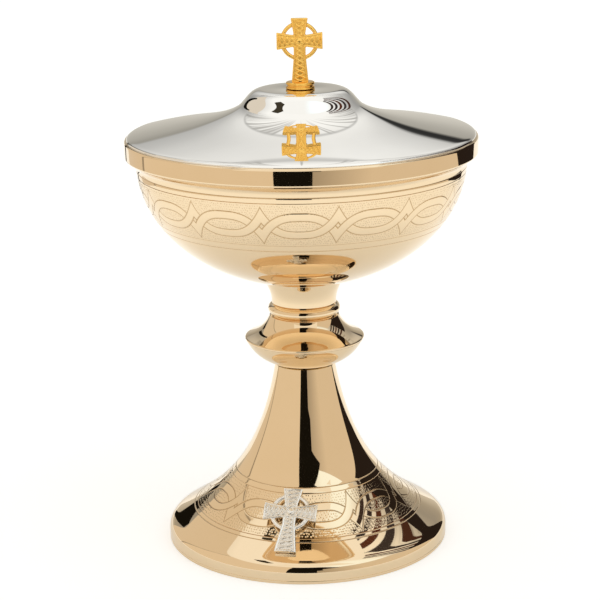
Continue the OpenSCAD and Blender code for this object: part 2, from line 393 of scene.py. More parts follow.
def mark_grooves(piece, wall, grooves, width):
    """Paints shade into the turned lines of a body."""
    places = corners_of(piece)
    section = np.column_stack([np.hypot(places[:, 0], places[:, 1]), places[:, 2]]) / MM
    dark = np.zeros(len(places))
    for groove in grooves:
        centre = wall.sunk(groove, 0.1)[0]
        away = np.linalg.norm(section - centre, axis=1)
        # Painted shade, strongest at the bottom of each groove
        dark = np.maximum(dark, 0.9 * np.exp(-(away / (0.42 * width)) ** 2))
    mark_cut_shade(piece, dark)


def ramp(low, high, x):
    t = np.clip((x - low) / (high - low), 0, 1)
    return t * t * (3 - 2 * t)

# Engraved interlace

# Softness of edges, margins and dots, in millimetres. The shift is a share of the pitch.
HIDDEN_EDGE = 0.12
GROUND_SLOPE = 0.35
BELT_MARGIN = 0.45
BELT_THICKNESS = 0.45
DOT_RADIUS = 0.33
DOT_CLEARANCE = 0.42
DOT_SHIFT = 0.24


def ribbons(across, up, repeat_width, height, ribbon_share):
    """Distance outside the upper and the lower ribbon of one repeat.

    The upper ribbon arches over the almond and dips to a cusp at the ends of the repeat.
    The lower one mirrors it. They cross twice.
    """
    bow = 2.9
    swing, middle = 0.47, 0.285
    to_end = np.minimum(2 * np.abs(across - 0.5), 1)
    slope = swing * bow * 2 * to_end ** (bow - 1) * height / repeat_width
    square = np.sqrt(1 + slope ** 2)
    lift = swing * to_end ** bow
    half = ribbon_share / 2 * height
    return [np.abs(up - centre) * height / square - half for centre in (1 - middle - lift, middle + lift)]


def belt_pattern(azimuth, up, radius, height, look, repeats, start, pitch, seed):
    """Depth in millimetres and painted shade of an engraved belt at each point."""
    across = ((azimuth - start) / FULL_TURN * repeats) % 1.0
    share = look.ribbon_share
    upper, lower = ribbons(across, up, FULL_TURN * radius / repeats, height, share)

    # Each ribbon lies on top in one half of the repeat, and the other is hidden under it
    upper_on_top = across < 0.5
    shown_upper = np.where(upper_on_top, 1.0, ramp(-HIDDEN_EDGE, HIDDEN_EDGE, lower))
    shown_lower = np.where(upper_on_top, ramp(-HIDDEN_EDGE, HIDDEN_EDGE, upper), 1.0)
    spread = look.line_width / MM / 2.2
    line = np.maximum(np.exp(-(upper / spread) ** 2) * shown_upper,
                      np.exp(-(lower / spread) ** 2) * shown_lower)
    ground = ramp(0.0, GROUND_SLOPE, np.minimum(upper, lower))

    # Punched dots stand in rows up the belt, each shifted a little from its place
    field = height - 2 * BELT_MARGIN
    rows = max(3, int(round(field / pitch)))
    draw = np.random.default_rng(seed)
    row_up = (BELT_MARGIN + (np.arange(rows) + 0.5) * field / rows) / height
    row_radius = np.interp(row_up, *sorted_pair(up, radius))
    row_count = np.maximum(8, np.round(FULL_TURN * row_radius / pitch)).astype(int)
    most = row_count.max()
    shift = draw.uniform(-DOT_SHIFT, DOT_SHIFT, (rows, most, 2))
    size = draw.uniform(0.8, 1.15, (rows, most))
    index = np.arange(most)[None, :]
    offset = 0.5 * (np.arange(rows)[:, None] % 2)
    dot_azimuth = (index + offset + shift[:, :, 0]) / row_count[:, None] * FULL_TURN
    dot_up = row_up[:, None] + shift[:, :, 1] * pitch / height
    dot_across = ((dot_azimuth - start) / FULL_TURN * repeats) % 1.0
    dot_width = (FULL_TURN * row_radius / repeats)[:, None] * np.ones_like(dot_up)
    over, under = ribbons(dot_across, dot_up, dot_width, height, share)
    stands = (np.minimum(over, under) > DOT_CLEARANCE) & (index < row_count[:, None])

    # A point is marked by the dots of its own row and column and of the ones beside it
    dots = np.zeros_like(up)
    row_here = np.floor((up * height - BELT_MARGIN) / (field / rows)).astype(int)
    for row_step in (-1, 0, 1):
        row = np.clip(row_here + row_step, 0, rows - 1)
        total = row_count[row]
        column_here = np.floor((azimuth % FULL_TURN) / FULL_TURN * total - 0.5 * (row % 2) + 0.5)
        for column_step in (-1, 0, 1):
            column = (column_here.astype(int) + column_step) % total
            gap = (azimuth - dot_azimuth[row, column] + math.pi) % FULL_TURN - math.pi
            away = np.hypot(gap * radius, (up - dot_up[row, column]) * height)
            away = away / (DOT_RADIUS * size[row, column])
            dots = np.maximum(dots, np.clip(1 - away ** 2, 0, 1) * stands[row, column])
    sunk = np.maximum(line * look.line_depth, ground * look.ground_depth + dots * look.dot_depth)
    # The lines, and the dots at half strength, get painted shade
    return sunk / MM, np.maximum(line, dots * 0.5)


def sorted_pair(x, y):
    """A few hundred of the points, in the order of x."""
    order = np.argsort(x)
    step = max(1, len(order) // 400)
    return x[order][::step], y[order][::step]


def engraved_belts(wall, span, look, names, steps_round, rows, **pattern):
    """Belts with the interlace cut in them, side by side in the channel of a wall."""
    low, high = span
    section = joined(wall.at(np.linspace(low, high, rows + 1)),
                     wall.sunk(np.linspace(high, low, 8), BELT_THICKNESS))
    share = FULL_TURN / len(names)
    for index, name in enumerate(names):
        piece = swept(name, section, steps_round // len(names), pattern["start"] + index * share, share)
        places = corners_of(piece)
        radius, height = np.hypot(places[:, 0], places[:, 1]) / MM, places[:, 2] / MM
        s = np.interp(height, wall.points[:, 1], wall.run)
        top = np.linalg.norm(np.column_stack([radius, height]) - wall.at(s), axis=1) < 0.02
        around = azimuths(places)
        depth, dark = np.zeros((2, len(places)))
        depth[top], dark[top] = belt_pattern(around[top], (s[top] - low) / (high - low), radius[top],
                                             high - low, look, **pattern)
        sunk = (wall.at(s) - wall.outwards(s) * depth[:, None]) * MM
        moved = np.column_stack([sunk[:, 0] * np.sin(around), -sunk[:, 0] * np.cos(around), sunk[:, 1]])
        places[top] = moved[top]
        move_corners(piece, places)
        # The lines and dots of the belt get painted shade
        mark_cut_shade(piece, dark)
        finish_piece(piece, "vessel", "gilt_polished")


def engraved_body(name, replaced, wall, close, heights, look, steps, **belts):
    """A body with two pairs of turned lines, and the belts that lie between the pairs.

    close makes a closed section out of the outside of the body.
    """
    lines = [wall.at_height(z) for z in heights]
    width, depth = look.line_width / MM, look.line_depth / MM
    body = spun(name, close(cut_wall(wall, lines, lines[1:3], width, depth)), steps)
    mark_grooves(body, wall, lines, width)
    finish_piece(body, "vessel", "gilt_polished", replaced)
    margin = width * 0.3
    engraved_belts(wall, (lines[1] + margin, lines[2] - margin), look, **belts)


# Finishes


def feed(tree, made, sockets):
    """Sets each socket of a node to a value, or links it to the output of another node."""
    for socket, value in sockets.items():
        if isinstance(value, bpy.types.NodeSocket):
            tree.links.new(value, made.inputs[socket])
        else:
            made.inputs[socket].default_value = value


def node(tree, kind, at, sockets=None, **settings):
    made = tree.nodes.new(kind)
    made.location = at
    for key, value in settings.items():
        setattr(made, key, value)
    feed(tree, made, sockets or {})
    return made


def maths(tree, at, operation, *values):
    made = node(tree, "ShaderNodeMath", at, dict(enumerate(values)), operation=operation)
    return made.outputs["Value"]


def remap(tree, at, value, start, stop, low=0.0, high=1.0, smooth=False):
    """A value moved from between start and stop to between low and high."""
    made = node(tree, "ShaderNodeMapRange", at,
                {"Value": value, "From Min": start, "From Max": stop, "To Min": low, "To Max": high},
                interpolation_type="SMOOTHSTEP" if smooth else "LINEAR")
    return made.outputs["Result"]


def blend(tree, at, factor, first, second):
    """A colour between two others."""
    return node(tree, "ShaderNodeMix", at, {0: factor, 6: first, 7: second}, data_type="RGBA").outputs[2]


def between(tree, at, factor, first, second):
    """A number between two others."""
    return node(tree, "ShaderNodeMix", at, {0: factor, 2: first, 3: second}, data_type="FLOAT").outputs[0]


def new_group(name, inputs, outputs):
    """A node group. An input is given by its kind of socket, or as a number by its usual value."""
    group = bpy.data.node_groups.new(name, "ShaderNodeTree")
    for label, value in inputs.items():
        kind = value if isinstance(value, str) else "Float"
        made = group.interface.new_socket(name=label, in_out="INPUT", socket_type="NodeSocket" + kind)
        if kind == "Float":
            made.default_value = value
    for label, kind in outputs.items():
        group.interface.new_socket(name=label, in_out="OUTPUT", socket_type="NodeSocket" + kind)
    given = node(group, "NodeGroupInput", (-800, 0))
    return group, given.outputs, node(group, "NodeGroupOutput", (600, 0))


def haze_group():
    """Fine uneven polish: where the metal is bright and where it is a little dull."""
    group, given, out = new_group(
        "Polish Haze", {"Vector": "Vector", "Scale": 60.0, "Bright": 0.03, "Dull": 0.08},
        {"Roughness": "Float", "Mask": "Float"})
    clouds = node(group, "ShaderNodeTexNoise", (-500, 100), {
        "Vector": given["Vector"], "Scale": given["Scale"], "Detail": 4.0, "Roughness": 0.6}).outputs["Fac"]
    feed(group, out, {
        "Roughness": remap(group, (-200, 100), clouds, 0.35, 0.75, given["Bright"], given["Dull"]),
        "Mask": remap(group, (-200, -200), clouds, 0.3, 0.7)})
    return group


def buffing_group():
    """Faint rings that a spun and buffed surface keeps, round the vessel's axis."""
    group, given, out = new_group("Buffing Rings", {"Vector": "Vector", "Scale": 1500.0}, {"Height": "Float"})
    split = node(group, "ShaderNodeSeparateXYZ", (-600, 0), {"Vector": given["Vector"]}).outputs
    flat = node(group, "ShaderNodeCombineXYZ", (-420, 160), {"X": split["X"], "Y": split["Y"]})
    radius = node(group, "ShaderNodeVectorMath", (-240, 160), {0: flat.outputs["Vector"]}, operation="LENGTH")
    turn = maths(group, (-420, -180), "ARCTAN2", split["Y"], split["X"])
    slow = maths(group, (-240, -180), "MULTIPLY", turn, 0.0006)
    place = node(group, "ShaderNodeCombineXYZ", (-60, 0),
                 {"X": radius.outputs["Value"], "Y": slow, "Z": split["Z"]})
    rings = node(group, "ShaderNodeTexNoise", (140, 0), {
        "Vector": place.outputs["Vector"], "Scale": given["Scale"], "Detail": 3.0, "Roughness": 0.55})
    feed(group, out, {"Height": rings.outputs["Fac"]})
    return group


def cut_shade_group():
    """Colour and roughness of a metal with painted shade and more roughness in its cuts and hollows."""
    group, given, out = new_group(
        "Painted Shade In Cuts", {"Colour": "Color", "Deep Colour": "Color", "Cut Shade Colour": "Color",
                          "Mask": 0.0, "Cut": 0.0, "Roughness": 0.05, "Cut Roughness": 0.35},
        {"Colour": "Color", "Roughness": "Float"})
    body = blend(group, (-300, 200), given["Mask"], given["Colour"], given["Deep Colour"])
    feed(group, out, {
        "Colour": blend(group, (0, 200), given["Cut"], body, given["Cut Shade Colour"]),
        "Roughness": between(group, (0, -150), given["Cut"], given["Roughness"], given["Cut Roughness"])})
    return group


def place_group(tree, at, name, build, sockets):
    """A node group in a tree. The group itself is built once."""
    group = bpy.data.node_groups.get(name) or build()
    made = node(tree, "ShaderNodeGroup", at, node_tree=group)
    feed(tree, made, sockets)
    return made.outputs


GRAIN_SCALE = 1800.0
CUT_ROUGHNESS = 0.35


def metal(name, main, deep, cut, bright, dull, haze_scale, ring_depth, grain_depth):
    """A metal with uneven polish, painted shade in its cuts, and buffing rings or a cast grain."""
    if name in bpy.data.materials:
        return bpy.data.materials[name]
    made = bpy.data.materials.new(name)
    made.use_nodes = True
    made.diffuse_color = (*main, 1)
    tree = made.node_tree
    tree.nodes.clear()
    where = node(tree, "ShaderNodeTexCoord", (-900, 0)).outputs["Object"]
    # How deep a point lies in a cut, for painted shade and more roughness there
    cut_shade_mask = node(tree, "ShaderNodeAttribute", (-900, -300), attribute_name="cut").outputs["Fac"]
    haze = place_group(tree, (-600, 0), "Polish Haze", haze_group, {
        "Vector": where, "Scale": haze_scale, "Bright": bright, "Dull": dull})
    tint = place_group(tree, (-200, 100), "Painted Shade In Cuts", cut_shade_group, {
        "Colour": (*main, 1), "Deep Colour": (*deep, 1), "Cut Shade Colour": (*cut, 1), "Cut": cut_shade_mask,
        "Mask": haze["Mask"], "Roughness": haze["Roughness"], "Cut Roughness": CUT_ROUGHNESS})
    if ring_depth:
        height = place_group(tree, (-200, -400), "Buffing Rings", buffing_group, {"Vector": where})["Height"]
    else:
        height = node(tree, "ShaderNodeTexNoise", (-200, -400), {
            "Vector": where, "Scale": GRAIN_SCALE, "Detail": 3.0}).outputs["Fac"]
    bump = node(tree, "ShaderNodeBump", (100, -300), {
        "Strength": 1.0, "Distance": ring_depth or grain_depth, "Height": height})
    shader = node(tree, "ShaderNodeBsdfPrincipled", (400, 0), {
        "Metallic": 1.0, "Base Color": tint["Colour"], "Roughness": tint["Roughness"],
        "Normal": bump.outputs["Normal"]})
    node(tree, "ShaderNodeOutputMaterial", (700, 0), {"Surface": shader.outputs["BSDF"]})
    return made


# Main, deep and cut colour, the last a painted shade for cuts and hollows; least and most roughness, scale of
# the haze, depth of rings and of grain
METALS = {
    "gilt_polished": ("gilt", "gilt_deep", "gilt_cut_shade", 0.02, 0.04, 45.0, 1.0e-7, 0),
    "gilt_cast": ("cast_gilt", "cast_gilt", "cast_gilt_deep_and_hollow_shade", 0.16, 0.30, 400.0, 0, 1.6e-5),
    "gilt_turned": ("cast_gilt", "cast_gilt_deep_and_hollow_shade", "gilt_cut_shade", 0.05, 0.10, 120.0, 4.0e-7, 0),
    "silver_polished": ("silver", "silver_deep", "cast_silver_hollow_shade", 0.006, 0.018, 40.0, 4.0e-8, 0),
    "silver_cast": ("silver", "silver_deep", "cast_silver_hollow_shade", 0.22, 0.38, 500.0, 0, 2.0e-5),
    "plain_brass": ("brass", "brass", "gilt_cut_shade", 0.18, 0.34, 220.0, 1.5e-6, 0),
    "steel_rod": ("steel", "steel", "steel", 0.20, 0.34, 260.0, 1.5e-6, 0),
}


def finishes():
    """Every metal, by its name in METALS."""
    look = bpy.context.scene.ciborium_finish
    return {name: metal(name.replace("_", " "), *(getattr(look, key) for key in row[:3]), *row[3:])
            for name, row in METALS.items()}


# Cast ringed crosses

CAST_BEVEL = 0.34
RING_INSET = 0.1


def arm_outline(length_mm, neck, end, angle_of_arm):
    edge = [(neck / 2, neck / 2), (neck / 2, length_mm / 3), (end / 2, length_mm)]
    outline = edge + [(-x, y) for x, y in reversed(edge[1:])]
    c, s = math.cos(angle_of_arm), math.sin(angle_of_arm)
    return [(x * c - y * s, x * s + y * c) for x, y in outline]


def on_arms(x, y, spec):
    """Where points lie on a cross: along their arm, beside its middle, its length, its half width."""
    sideways = np.abs(x) > np.abs(y)
    along = np.where(sideways, np.abs(x), np.abs(y))
    beside = np.where(sideways, y, x)
    arm_length = np.where(sideways, spec["side"], np.where(y > 0, spec["top"], spec["shaft"]))
    end = np.where(sideways | (y > 0), spec["end"], spec["base"])
    flare = np.clip((along - arm_length / 3) / (arm_length * 2 / 3), 0, 1)
    return along, beside, arm_length, (spec["neck"] + (end - spec["neck"]) * flare) / 2


def cross_relief(x, y, spec):
    """Height of the casting's relief over its sunk field, and how deep each point lies, for painted shade in
    the hollows.
    """
    along, beside, arm_length, half = on_arms(x, y, spec)
    neck = spec["neck"] / 2
    in_heart = (np.abs(x) < neck) & (np.abs(y) < neck)
    to_corner = np.hypot(neck - np.abs(x), neck - np.abs(y))
    to_edge = np.where(in_heart, to_corner, np.minimum(half - np.abs(beside), arm_length - along))
    border_at, border_width = 0.42, 0.3
    border = np.exp(-((to_edge - border_at) / border_width) ** 2)
    border = np.maximum(border, (to_edge < border_at) * 0.9)

    # Two cords cross and cross again along each arm, over and under in turn
    pitch, cord, boss_radius = 4.4, 0.58, 1.45
    reach_out = np.maximum(half - 1.55, 0.35)
    swing = reach_out * np.sin(FULL_TURN * along / pitch)
    over = 0.22 * np.cos(FULL_TURN * along / pitch)
    first = np.clip(1 - ((beside - swing) / cord) ** 2, 0, 1) ** 0.6 * (0.78 + over)
    second = np.clip(1 - ((beside + swing) / cord) ** 2, 0, 1) ** 0.6 * (0.78 - over)
    cords = np.maximum(first, second) * ramp(0.55, 0.95, to_edge)
    boss = np.clip(1 - (np.hypot(x, y) / boss_radius) ** 2, 0, 1) ** 0.5
    raised = np.maximum(np.maximum(border, cords), boss)
    return raised, np.clip(1 - raised * 1.5, 0, 1)


def cross_blank(name, spec, thickness):
    """A flat cross with eased edges and a ring behind its arms, joined as one casting."""
    outline = []
    for key, turn in (("top", 0), ("side", 90), ("shaft", 180), ("side", 270)):
        end = spec["base"] if key == "shaft" else spec["end"]
        outline += arm_outline(spec[key], spec["neck"], end, math.radians(turn))
    blank = start_piece(name, bpy.ops.mesh.primitive_circle_add, vertices=len(outline), radius=5)
    move_corners(blank, np.array([(x, y, 0) for x, y in outline]))
    with Editing():
        bpy.ops.mesh.edge_face_add()
        bpy.ops.mesh.extrude_region_move(TRANSFORM_OT_translate={"value": (0, 0, thickness)})
        bpy.ops.mesh.select_all(action="SELECT")
        bpy.ops.mesh.normals_make_consistent(inside=False)
        bpy.ops.mesh.bevel(offset=CAST_BEVEL, segments=4, affect="EDGES")

    middle, bar_radius = (0, 0, thickness / 2), spec["ring_t"] / 2
    ring = start_piece(name + "_ring", bpy.ops.mesh.primitive_torus_add, location=middle,
                       major_radius=spec["ring_r"] - bar_radius, minor_radius=bar_radius,
                       major_segments=96, minor_segments=24)
    ring_half = thickness / 2 - spec["crown"] - RING_INSET
    with Editing():
        bpy.ops.transform.resize(value=(1, 1, ring_half / bar_radius), center_override=middle)
    bpy.ops.object.transform_apply(location=True, rotation=True, scale=True)
    ring.select_set(True)
    blank.select_set(True)
    bpy.context.view_layer.objects.active = blank
    bpy.ops.object.join()
    return bpy.context.object


def cast_cross(name, spec, thickness, place, voxel, seed):
    """A ringed cross with crowned arms and knotwork on its faces, remeshed as one casting."""
    casting = cross_blank(name, spec, thickness)
    apply_modifier(casting, "REMESH", mode="VOXEL", voxel_size=voxel)
    apply_modifier(casting, "SMOOTH", factor=0.5, iterations=3)
    places = corners_of(casting)
    normals = np.empty(len(places) * 3, np.float32)
    casting.data.vertices.foreach_get("normal", normals)
    facing = normals.reshape(-1, 3)[:, 2]
    x, y, z = places.T
    raised, hollow_shade = cross_relief(x, y, spec)
    along, beside, arm_length, half = on_arms(x, y, spec)
    beside = np.abs(beside)
    on_arm = (beside < half + 0.02) & (along < arm_length)
    edge_drop = spec["crown"] / (thickness / 2) * np.clip(beside / half, 0, 1) ** 2 * on_arm
    places[:, 2] = thickness / 2 + (z - thickness / 2) * (1 - edge_drop)
    flat = ramp(0.75, 0.95, np.abs(facing)) * on_arm
    wobble = np.random.default_rng(seed).normal(0, 0.012, len(places))
    sink = (1 - raised) * spec["relief"] * flat + wobble * flat
    places[:, 2] -= np.sign(facing) * np.maximum(sink, 0)
    move_corners(casting, places)
    # The hollows of the knotwork get painted shade
    mark_cut_shade(casting, hollow_shade * flat * 0.6)
    casting.data.transform(place)
    casting.data.update()
    return casting


# Pieces

# Radius of the bore of the tie rod, sheet of the stem and other sizes, in millimetres
BORE = 3.3
STEM_SHEET = 1.1
FOOT_RING_WIDTH = 4.6
FOOT_LINES = (14.8, 16.0, 31.0, 33.2)
BOWL_LINES = (151.2, 154.2, 173.8, 176.3)
CROSS_AZIMUTH = -10.3
FOOT_CROSS = {"shaft": 19.9, "top": 11.7, "side": 12.1, "neck": 5.9, "end": 8.9, "base": 9.9,
              "ring_r": 9.3, "ring_t": 1.9, "relief": 0.34, "crown": 0.45}
# The part of the shaft in view, and the part that stands in the slot of the collar
FINIAL_SHAFT = 17.92 + 0.95
FINIAL_CROSS = {"shaft": FINIAL_SHAFT, "side": 10.2, "neck": 5.3, "end": 7.6, "base": 7.6,
                "ring_r": 8.65, "ring_t": 1.75, "relief": 0.36, "crown": 0.5}


class CIBORIUM_OT_foot(bpy.types.Operator):
    """Foot with its base ring, turned lines and engraved belt"""

    bl_idname = "ciborium.foot"
    bl_label = "Foot"

    def execute(self, context):
        shape, look = context.scene.ciborium_shape, context.scene.ciborium_engraving
        rim, neck = shape.foot_radius / MM, shape.neck_radius / MM
        low, high = levels("base_ring")
        inner = rim - FOOT_RING_WIDTH
        ring = spun("base_ring_turned", [(inner, low), (rim, low), (rim, high), (inner, high)],
                    shape.turns, ease=0.25)
        finish_piece(ring, "vessel", "gilt_polished", "base_ring")

        base, top = levels("foot_shell")
        shoulder = (rim - 4.5, base + 8.5)
        wall = Wall(joined(
            [(rim, base)],
            bezier((rim, base + 2.7), (rim, base + 5.7), (rim - 1.8, base + 6.9), shoulder),
            bezier(shoulder, (31, 27.6), (20.1, top - 34.8), (neck, top), 2000)))
        engraved_body("foot_body", "foot_shell", wall,
                      lambda outside: shell_section(wall, shape.foot_wall / MM, outside),
                      FOOT_LINES, look, shape.turns, names=("foot_belt_1", "foot_belt_2", "foot_belt_3"),
                      steps_round=1350, rows=112, repeats=look.foot_repeats, start=look.foot_start,
                      pitch=look.foot_dot_pitch / MM, seed=11)
        return {"FINISHED"}


class CIBORIUM_OT_foot_cross(bpy.types.Operator):
    """Cast silver cross on the front of the foot"""

    bl_idname = "ciborium.foot_cross"
    bl_label = "Foot Cross"

    def execute(self, context):
        low, high = (58.0, 11.6), (34.0, 32.3)
        tilt = math.atan2(high[1] - low[1], low[0] - high[0])
        place = (Matrix.Scale(MM, 4)
                 @ Matrix.Rotation(math.radians(CROSS_AZIMUTH), 4, "Z")
                 @ Matrix.Translation((0, -low[0], low[1]))
                 @ Matrix.Rotation(tilt, 4, "X")
                 @ Matrix.Translation((0, FOOT_CROSS["shaft"], 0.15)))
        cross = cast_cross("foot_cross_cast", FOOT_CROSS, 2.2, place, 0.15, 5)
        finish_piece(cross, "vessel", "silver_cast", "foot_cross", smooth_below=60)
        return {"FINISHED"}


class CIBORIUM_OT_stem(bpy.types.Operator):
    """Knop in two halves, bead ring and flared collar"""

    bl_idname = "ciborium.stem"
    bl_label = "Stem"

    def execute(self, context):
        shape = context.scene.ciborium_shape
        knop, bead = shape.knop_radius / MM, shape.bead_radius / MM
        knop_z, waist_z = levels("knop_lower")[0], levels("knop_upper")[0]
        bead_z, collar_z = levels("stem_bead")
        collar_top = levels("bowl_collar")[1]
        edge = (knop - 0.3, waist_z)

        wall = Wall(bezier((12, knop_z), (20.5, knop_z + 2.6), (24.3, knop_z + 6.2), edge))
        inside = wall.sunk(np.linspace(wall.length, 0, 20), STEM_SHEET)
        inside = inside[inside[:, 1] < waist_z - 0.3]
        lower = joined([(BORE, knop_z)], wall.at(np.linspace(0, wall.length, 40)),
                       [(edge[0] - STEM_SHEET, edge[1])], inside, [(BORE, knop_z + STEM_SHEET)])

        shoulder = (knop - 0.7, waist_z + 1.3)
        wall = Wall(joined(
            bezier(edge, (knop + 0.1, waist_z + 0.6), (knop, waist_z + 1.0), shoulder),
            bezier(shoulder, (22.8, waist_z + 3), (18.8, waist_z + 4.8), (bead - 0.7, bead_z), 900)))
        near = np.concatenate([np.linspace(0, 1.6, 14), np.linspace(1.6, wall.length, 56)[1:]])
        inside = wall.sunk(np.linspace(wall.length - 1.6, 2.6, 24), STEM_SHEET)
        upper = joined([(knop - 1.4, waist_z)], wall.at(near), [(BORE, bead_z)],
                       [(BORE, bead_z - STEM_SHEET)], [(bead - 2.3, bead_z - STEM_SHEET)], inside)

        tall = collar_z - bead_z
        swell = tall / 2 - 0.6
        bulge = np.linspace(-math.pi / 2, math.pi / 2, 41)
        round_edge = np.column_stack([bead - swell + swell * np.cos(bulge),
                                      bead_z + tall / 2 + swell * np.sin(bulge)])
        ring = joined([(BORE, bead_z)], [(bead - 1.7, bead_z)], round_edge,
                      [(bead - 1.7, collar_z)], [(BORE, collar_z)])

        wall = Wall(bezier((bead - 1.7, collar_z), (bead - 1.8, collar_z + 4.2),
                           (bead - 0.1, collar_z + 7.2), (18.6, collar_top)))
        inside = wall.sunk(np.linspace(wall.length * 0.93, wall.length * 0.12, 14), STEM_SHEET)
        collar = joined([(BORE, collar_z)], wall.at(np.linspace(0, wall.length, 30)),
                        [(17.3, collar_top - 0.3)], inside, [(bead - 2.8, collar_z + 1.2)],
                        [(BORE, collar_z + 1.2)])

        for name, section, ease, replaced in (("knop_lower_half", lower, 0.1, "knop_lower"),
                                              ("knop_upper_half", upper, 0.1, "knop_upper"),
                                              ("stem_bead_turned", ring, 0.08, "stem_bead"),
                                              ("bowl_collar_turned", collar, 0.1, "bowl_collar")):
            piece = spun(name, section, shape.turns, ease=ease)
            finish_piece(piece, "vessel", "gilt_polished", replaced)
        return {"FINISHED"}


class CIBORIUM_OT_bowl(bpy.types.Operator):
    """Bowl with its flared lip, turned lines and engraved belt"""

    bl_idname = "ciborium.bowl"
    bl_label = "Bowl"

    def execute(self, context):
        shape, look = context.scene.ciborium_shape, context.scene.ciborium_engraving
        a, b, thick = shape.bowl_radius / MM, shape.bowl_curve / MM, shape.bowl_wall / MM
        base, lip_z = levels("bowl_shell")
        lip = (a + 3.1, lip_z - 0.6)

        def side(sheet, pulled, end):
            """Bowl wall, sheet inside its outer face, from the axis up to its end in the lip."""
            stop = math.acos((base + b - (lip_z - 4.6)) / (b - sheet))
            curve = ellipse_arc(a - sheet, b - sheet, base + b, 0, stop)
            x, z = curve[-1]
            return Wall(joined(curve, bezier((x, z), (x + 0.1, z + 2), pulled, end)))

        wall = side(0, (lip[0] - 1.6, lip[1] - 1.2), lip)
        throat = side(thick, (a - 0.2, lip_z - 1.3), (a + 0.9, lip_z))

        def close(outside):
            section = joined(outside, [(lip[0], lip_z)], throat.at(np.linspace(throat.length, 0, 90)))
            section[0, 0] = section[-1, 0] = 0.0
            return section

        engraved_body("bowl_body", "bowl_shell", wall, close, BOWL_LINES, look, shape.turns,
                      names=("bowl_belt_1", "bowl_belt_2"), steps_round=2016, rows=86,
                      repeats=look.bowl_repeats, start=look.bowl_start - 3 * FULL_TURN / look.bowl_repeats,
                      pitch=look.bowl_dot_pitch / MM, seed=7)
        return {"FINISHED"}


class CIBORIUM_OT_lid(bpy.types.Operator):
    """Silver lid with its gilt band and locating ring"""

    bl_idname = "ciborium.lid"
    bl_label = "Lid"

    def execute(self, context):
        shape = context.scene.ciborium_shape
        band, thick = shape.band_radius / MM, shape.lid_wall / MM
        lip_z, band_top = levels("lid_rim_band")
        plateau = levels("lid_shell")[1]
        edge, brim, foot_of_dome = band - 1.1, (band - 4.2, band_top + 1.6), (27.6, plateau - 7.2)
        wall = Wall(joined(
            bezier((edge, band_top), (edge, band_top + 0.9), (band - 2.4, band_top + 1.2), brim),
            bezier(brim, (54, band_top + 6.2), (35.5, band_top + 7.8), foot_of_dome, 1500),
            bezier(foot_of_dome, (24.4, plateau - 4.3), (22.6, plateau), (17.5, plateau), 900)))
        out = np.concatenate([np.linspace(0, 5, 18), np.linspace(5, wall.length, 90)[1:]])
        inside = wall.sunk(np.linspace(wall.length, 1.0, 60), thick)
        dome = joined(wall.at(out), [(1.6, plateau)], [(1.6, plateau - thick)], inside,
                      [(band - 1.1 - thick, band_top)])

        inner, ring = band - 1.5, reach("lid_locating_ring")
        quarter = np.linspace(0, math.pi / 2, 9)
        under = np.column_stack([band - 0.9 + 0.9 * np.sin(quarter), lip_z + 0.9 - 0.9 * np.cos(quarter)])
        over = np.column_stack([band - 1.3 + 1.3 * np.cos(quarter), band_top - 1.3 + 1.3 * np.sin(quarter)])
        rim = joined([(ring, lip_z)], under, over, [(inner, band_top)], [(inner, lip_z + 1.2)],
                     [(ring, lip_z + 1.2)])
        low, high = levels("lid_locating_ring")
        seat = [(ring - 1, low), (ring, low), (ring, high), (ring - 1, high)]

        for name, section, ease, slot, replaced in (
                ("lid_dome", dome, 0.1, "silver_polished", "lid_shell"),
                ("lid_band", rim, 0.1, "gilt_polished", "lid_rim_band"),
                ("lid_seat_ring", seat, 0.3, "gilt_polished", "lid_locating_ring")):
            finish_piece(spun(name, section, shape.turns, ease=ease), "lid", slot, replaced)
        return {"FINISHED"}


class CIBORIUM_OT_finial(bpy.types.Operator):
    """Two-tier collar and cast gilt cross on the lid"""

    bl_idname = "ciborium.finial"
    bl_label = "Finial"

    def execute(self, context):
        radius, stud = reach("finial_collar"), 1.55
        low, high = levels("finial_collar")
        step = (high - low) / 2
        waist = radius - 0.75
        rounded = np.linspace(-math.pi / 2, math.pi / 2, 13)
        lower = np.column_stack([radius - 0.5 + 0.5 * np.cos(rounded), low + 0.52 + 0.52 * np.sin(rounded)])
        upper = np.column_stack([waist + 0.72 * np.cos(rounded), low + step + 0.76 + 0.74 * np.sin(rounded)])
        section = joined([(stud, low)], lower, [(waist, low + step - 0.5)], [(waist, low + step)],
                         upper, [(radius - 1.6, high)], [(stud, high)])
        collar = spun("finial_collar_turned", section, 128)
        finish_piece(collar, "lid", "gilt_polished", "finial_collar", metal_name="gilt_turned")

        base, top = levels("finial_cross")
        place = (Matrix.Scale(MM, 4) @ Matrix.Translation((0, 1.3, base + FINIAL_SHAFT))
                 @ Matrix.Rotation(math.radians(90), 4, "X"))
        cross = cast_cross("finial_cross_cast", {**FINIAL_CROSS, "top": top - base - FINIAL_SHAFT},
                           2.6, place, 0.14, 3)
        finish_piece(cross, "lid", "gilt_cast", "finial_cross", smooth_below=60)
        return {"FINISHED"}


class CIBORIUM_OT_fastenings(bpy.types.Operator):
    """Tie rod, nuts, washers and pins inside the vessel"""

    bl_idname = "ciborium.fastenings"
    bl_label = "Fastenings"

    def execute(self, context):
        metals = finishes()
        wear = {
            "plain_brass": ("foot_neck_plate", "foot_cross_nuts", "bowl_boss", "tie_washer", "tie_nut",
                            "finial_stud", "finial_washer", "finial_nut"),
            "steel_rod": ("tie_rod",),
            "silver_cast": ("foot_cross_pins",),
        }
        for slot, names in wear.items():
            for name in names:
                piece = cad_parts[name]
                piece.data.materials.clear()
                piece.data.materials.append(metals[slot])
        return {"FINISHED"}


# Stage

